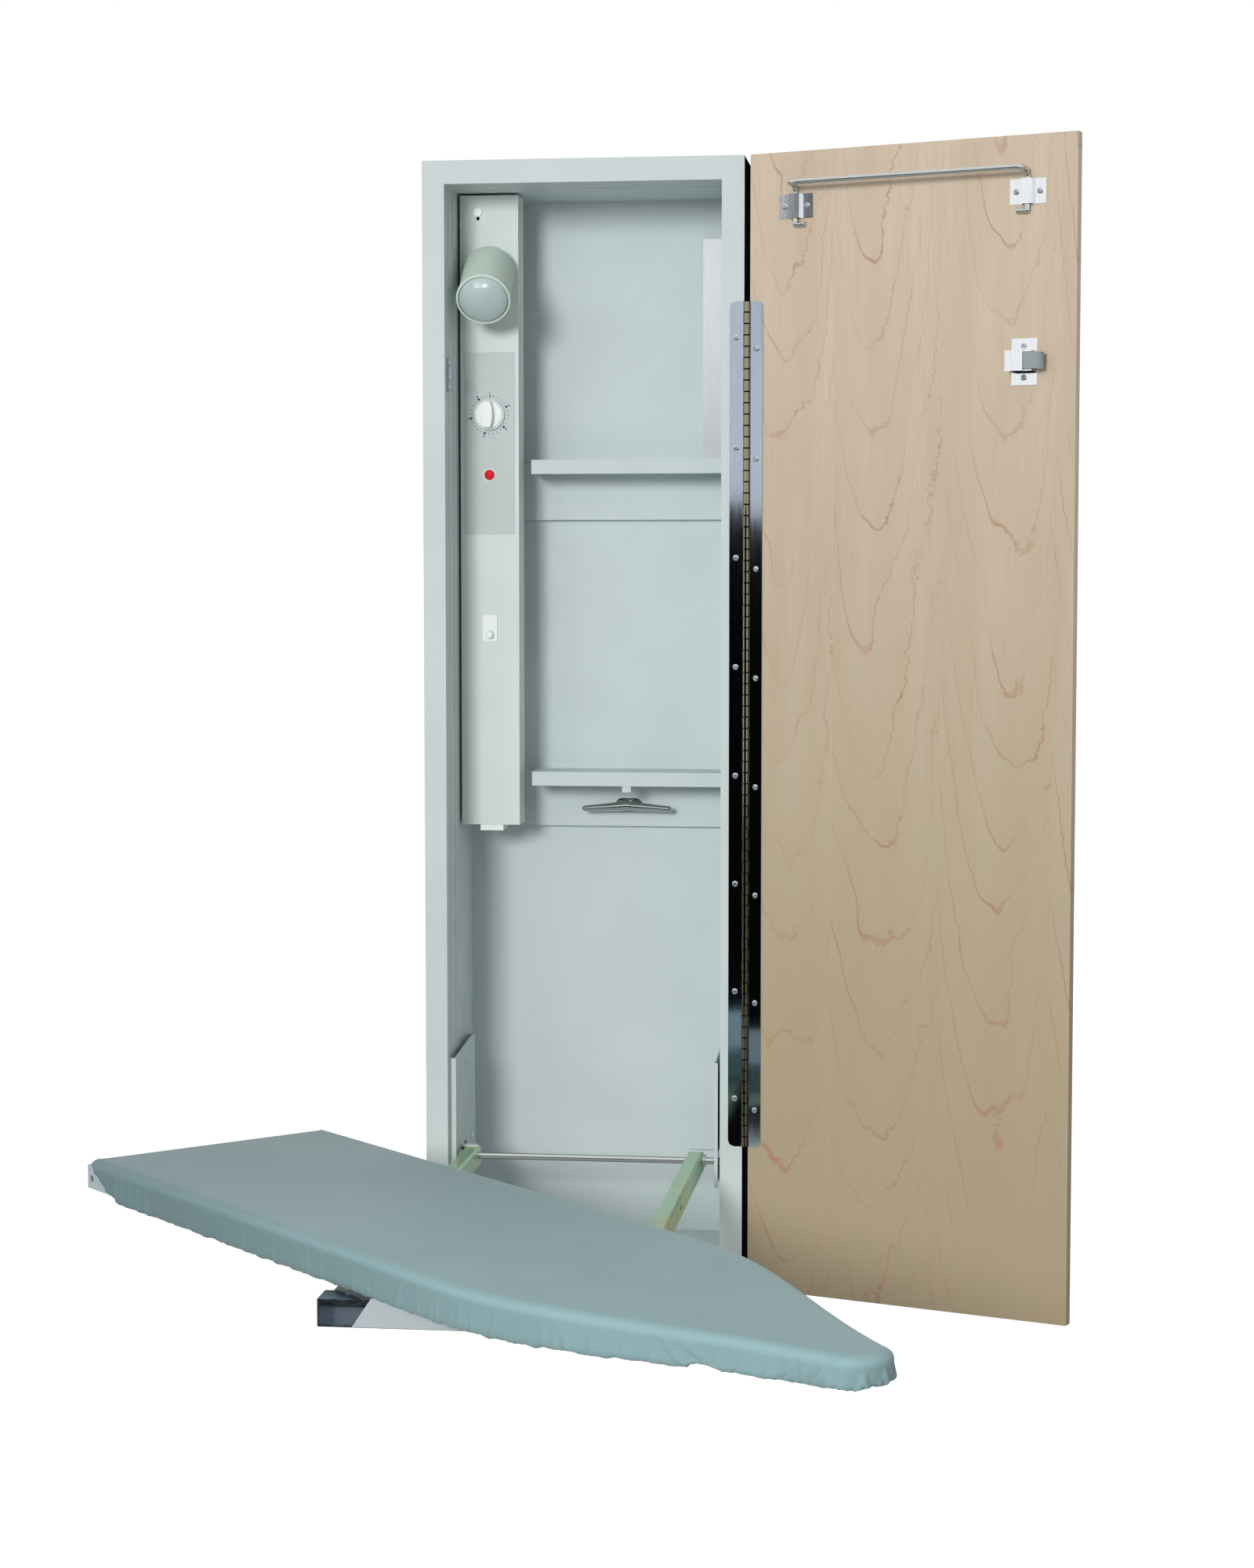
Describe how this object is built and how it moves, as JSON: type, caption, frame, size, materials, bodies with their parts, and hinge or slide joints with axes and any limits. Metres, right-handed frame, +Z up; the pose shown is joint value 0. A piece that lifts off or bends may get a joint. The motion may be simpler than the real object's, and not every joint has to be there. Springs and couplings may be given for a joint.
{
  "type": "wall cabinet with folding ironing board",
  "caption": "Shallow wall cabinet with a mirrored door on a piano hinge, and a covered ironing board that swivels on fold-down arms.",
  "frame": {"origin": "on the wall plane, midway between the two hanging holes in the cabinet's back", "axes": "+X to the right, +Y into the wall, +Z up; the board comes down towards -Y"},
  "size_m": [1.0515, 1.1815, 1.292],
  "materials": {
    "case_black": "semi-gloss",
    "enamel": "satin",
    "galvanized": "dull",
    "white_plastic": "gloss",
    "label_grey": "satin",
    "red_lens": "gloss",
    "black_plastic": "matt",
    "bright_chrome": "polished",
    "hinge_nickel": "polished",
    "maple": "clear lacquer",
    "mirror_glass": "polished",
    "roller_grey": "satin",
    "yellow_zinc": "passivated",
    "grey_paint": "satin",
    "bolt_steel": "satin",
    "felt": "matt",
    "cover_cloth": "coated",
    "frosted_glass": "frosted"
  },
  "bodies": {
    "cabinet": {"case_sides": "case_black", "case_ends": "case_black", "face_frame": "enamel", "liner_sides": "enamel", "liner_ends": "enamel", "back_panel": "enamel", "control_box": "enamel", "wiring_box": "galvanized", "power_outlet": "white_plastic", "control_label": "label_grey", "box_plug": "white_plastic", "lamp_base": "enamel", "timer_body": "galvanized", "pilot_lamp": "red_lens", "pilot_bezel": "white_plastic", "switch_plate": "white_plastic", "cable_inlet": "black_plastic", "upper_shelf": "enamel", "upper_rail": "enamel", "lower_shelf": "enamel", "lower_rail": "enamel", "heat_shield": "galvanized", "shelf_tab": "enamel", "cord_cleat": "bright_chrome", "cleat_screws": "bright_chrome", "catch_strike": "bright_chrome", "strike_screws": "bright_chrome", "bracket_left": "enamel", "bracket_right": "enamel", "bracket_screws": "bright_chrome", "cross_rod": "bright_chrome", "rod_collars": "galvanized", "hinge_leaf_case": "hinge_nickel", "hinge_pin": "hinge_nickel", "hinge_screws_case": "hinge_nickel"},
    "door": {"door_panel": "maple", "door_mirror": "mirror_glass", "hinge_leaf_door": "hinge_nickel", "hinge_screws_door": "hinge_nickel", "bar_clip_left": "bright_chrome", "bar_clip_right": "bright_chrome", "door_screws": "bright_chrome", "catch_case": "bright_chrome"},
    "garment_bar": {"garment_bar": "bright_chrome"},
    "catch_roller": {"catch_roller": "roller_grey"},
    "arms": {"arm_left": "yellow_zinc", "arm_right": "yellow_zinc", "front_channel": "bright_chrome", "swivel_plate": "grey_paint", "pivot_bolt": "bolt_steel"},
    "board": {"board_deck": "grey_paint", "board_pad": "felt", "board_cover": "cover_cloth", "swivel_hub": "grey_paint"},
    "timer": {"timer_knob": "white_plastic"},
    "lamp": {"lamp_shade": "enamel", "lamp_bulb": "frosted_glass"},
    "plunger": {"switch_plunger": "white_plastic"}
  },
  "joints": [
    {"name": "board_fold", "type": "hinge", "parent": "cabinet", "child": "arms", "pos_m": [0, -0.149, -0.9981], "axis": [-1, 0, 0], "range_deg": [0, 50]},
    {"name": "board_swivel", "type": "hinge", "parent": "arms", "child": "board", "pos_m": [0, -0.782, -0.986], "axis": [0, 0, 1], "range_deg": [-134, 46]},
    {"name": "door_swing", "type": "hinge", "parent": "cabinet", "child": "door", "pos_m": [0.187, -0.1863, -0.494], "axis": [0, 0, 1], "range_deg": [-70, 19.5]},
    {"name": "garment_bar_lift", "type": "slide", "parent": "door", "child": "garment_bar", "axis": [0, 0, 1], "range_m": [0, 0.003]},
    {"name": "catch_roller_press", "type": "slide", "parent": "door", "child": "catch_roller", "axis": [-0.9421, 0.3355, 0], "range_m": [0, 0.005], "stiffness_N_per_m": 1500},
    {"name": "timer_turn", "type": "hinge", "parent": "cabinet", "child": "timer", "pos_m": [-0.1225, -0.093, -0.132], "axis": [0, 1, 0], "range_deg": [0, 300]},
    {"name": "lamp_tilt", "type": "hinge", "parent": "cabinet", "child": "lamp", "pos_m": [-0.12, -0.106, 0.032], "axis": [0.9986, 0.0523, 0], "range_deg": [-30, 0]},
    {"name": "switch_press", "type": "slide", "parent": "cabinet", "child": "plunger", "axis": [0, 1, 0], "range_m": [0, 0.004], "stiffness_N_per_m": 300}
  ]
}
